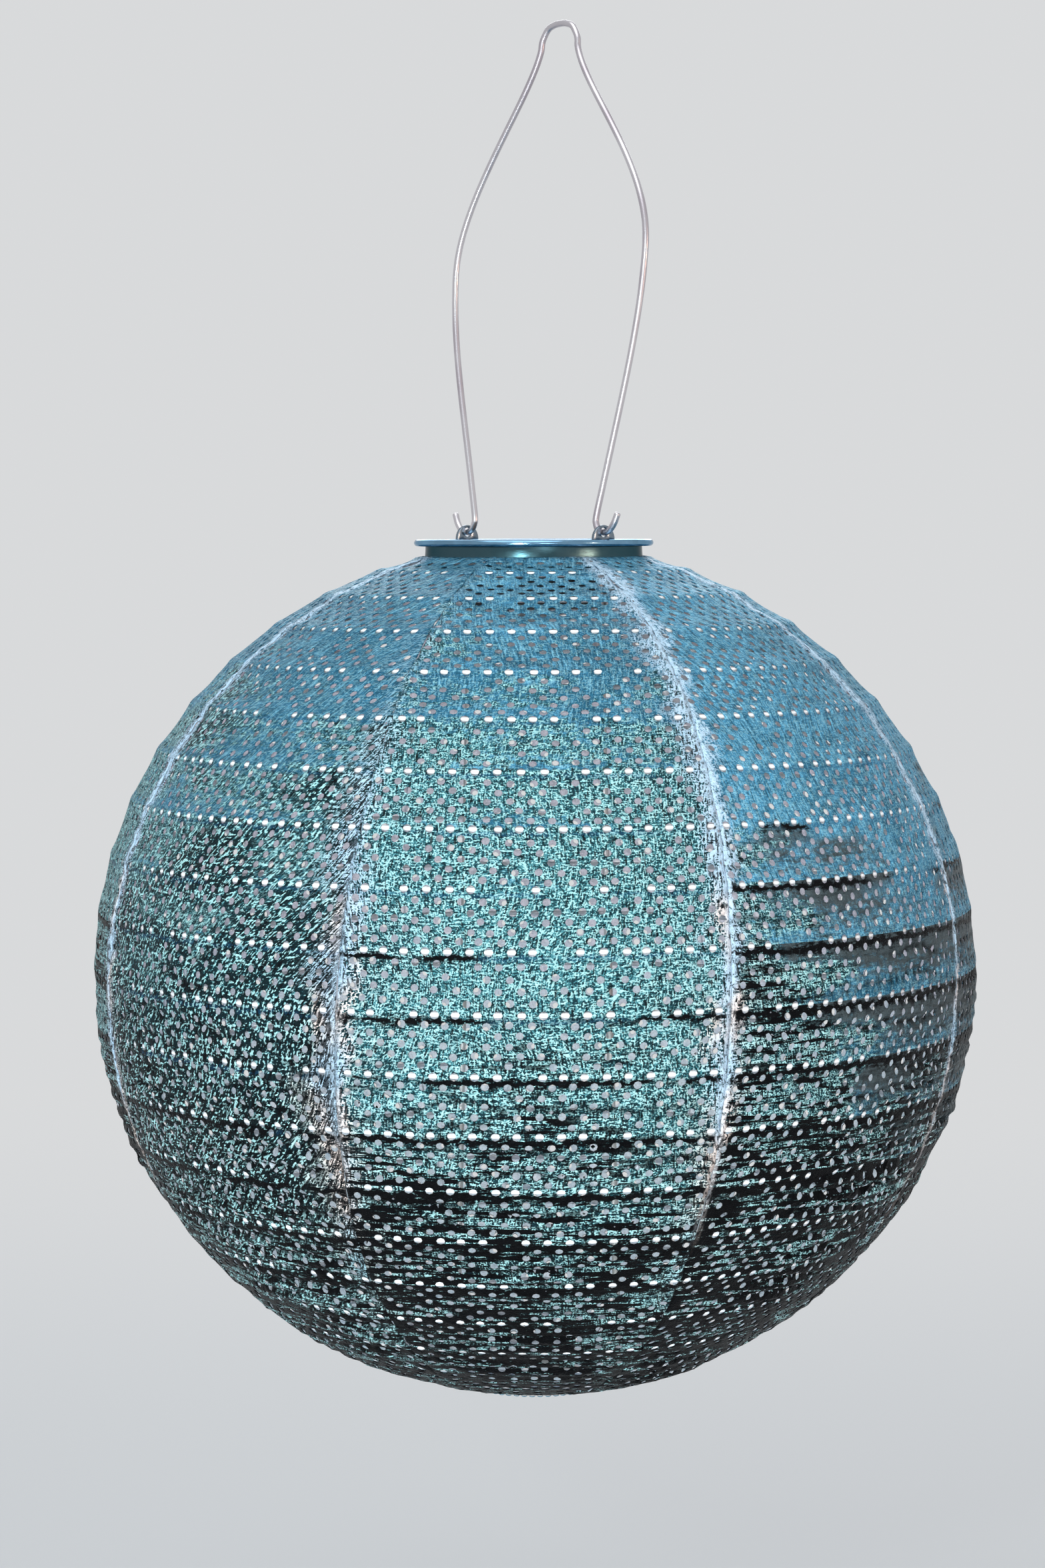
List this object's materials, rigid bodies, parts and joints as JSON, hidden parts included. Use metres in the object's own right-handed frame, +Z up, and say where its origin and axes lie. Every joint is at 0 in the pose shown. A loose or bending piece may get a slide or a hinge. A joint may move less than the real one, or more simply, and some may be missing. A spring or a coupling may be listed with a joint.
{
  "type": "hanging lantern",
  "caption": "Hanging globe lantern: perforated cloth shade over wire hoops, polished rim with a drop-in solar lamp unit, and a bent wire bail.",
  "frame": {"origin": "the hang point, under the crest of the bail", "axes": "+Z up, X along the ear line that the globe swings about"},
  "size_m": [0.3, 0.3, 0.4644],
  "materials": {
    "polished_steel": "polished stainless sheet",
    "bail_wire": "bright drawn stainless wire",
    "hoop_wire": "white coated spring wire",
    "spring_wire": "bright spring steel",
    "shade_cloth": "metallic blue-green perforated polyester, pale inside",
    "black_plastic": "fine moulded texture",
    "cell_window": "clear",
    "solar_cell": "dark blue cell with fine silver lines",
    "seal_rubber": "matt",
    "screw_steel": "bright zinc",
    "battery_sleeve": "plain shrink sleeve",
    "circuit_board": "solder mask",
    "led_resin": "clear resin",
    "frosted_lens": "frosted"
  },
  "bodies": {
    "bail": {"bail": "bail_wire"},
    "globe": {"rim": "polished_steel", "neck_band": "polished_steel", "hem_ring": "hoop_wire", "gore_1": "shade_cloth", "gore_2": "shade_cloth", "gore_3": "shade_cloth", "gore_4": "shade_cloth", "gore_5": "shade_cloth", "gore_6": "shade_cloth", "gore_7": "shade_cloth", "gore_8": "shade_cloth", "bottom_patch": "shade_cloth", "hoop_01": "hoop_wire", "hoop_02": "hoop_wire", "hoop_03": "hoop_wire", "hoop_04": "hoop_wire", "hoop_05": "hoop_wire", "hoop_06": "hoop_wire", "hoop_07": "hoop_wire", "hoop_08": "hoop_wire", "hoop_09": "hoop_wire", "hoop_10": "hoop_wire", "hoop_11": "hoop_wire", "hoop_12": "hoop_wire", "hoop_13": "hoop_wire", "hoop_14": "hoop_wire", "hoop_15": "hoop_wire", "hoop_16": "hoop_wire", "hoop_17": "hoop_wire", "hoop_18": "hoop_wire", "hoop_19": "hoop_wire", "hoop_20": "hoop_wire", "stretcher": "spring_wire"},
    "lamp_unit": {"lid_cap": "black_plastic", "cell_window": "cell_window", "solar_cell": "solar_cell", "lid_gasket": "seal_rubber", "lamp_housing": "black_plastic", "housing_screw_1": "screw_steel", "housing_screw_2": "screw_steel", "housing_screw_3": "screw_steel", "battery_door": "black_plastic", "door_screw": "screw_steel", "battery": "battery_sleeve", "battery_contact_1": "spring_wire", "battery_contact_2": "spring_wire", "switch_body": "black_plastic", "circuit_board": "circuit_board", "led": "led_resin", "led_lens": "frosted_lens"},
    "power_switch": {"switch_knob": "black_plastic"}
  },
  "joints": [
    {"name": "bail_swing", "type": "hinge", "parent": "bail", "child": "globe", "pos_m": [0, -0.01278, -0.16992], "axis": [1, 0, 0], "range_deg": [-96.3, 87.7]},
    {"name": "lamp_lift", "type": "slide", "parent": "globe", "child": "lamp_unit", "axis": [0, 0, 1], "range_m": [0, 0.06]},
    {"name": "switch_slide", "type": "slide", "parent": "lamp_unit", "child": "power_switch", "axis": [1, 0, 0], "range_m": [0, 0.003]}
  ]
}
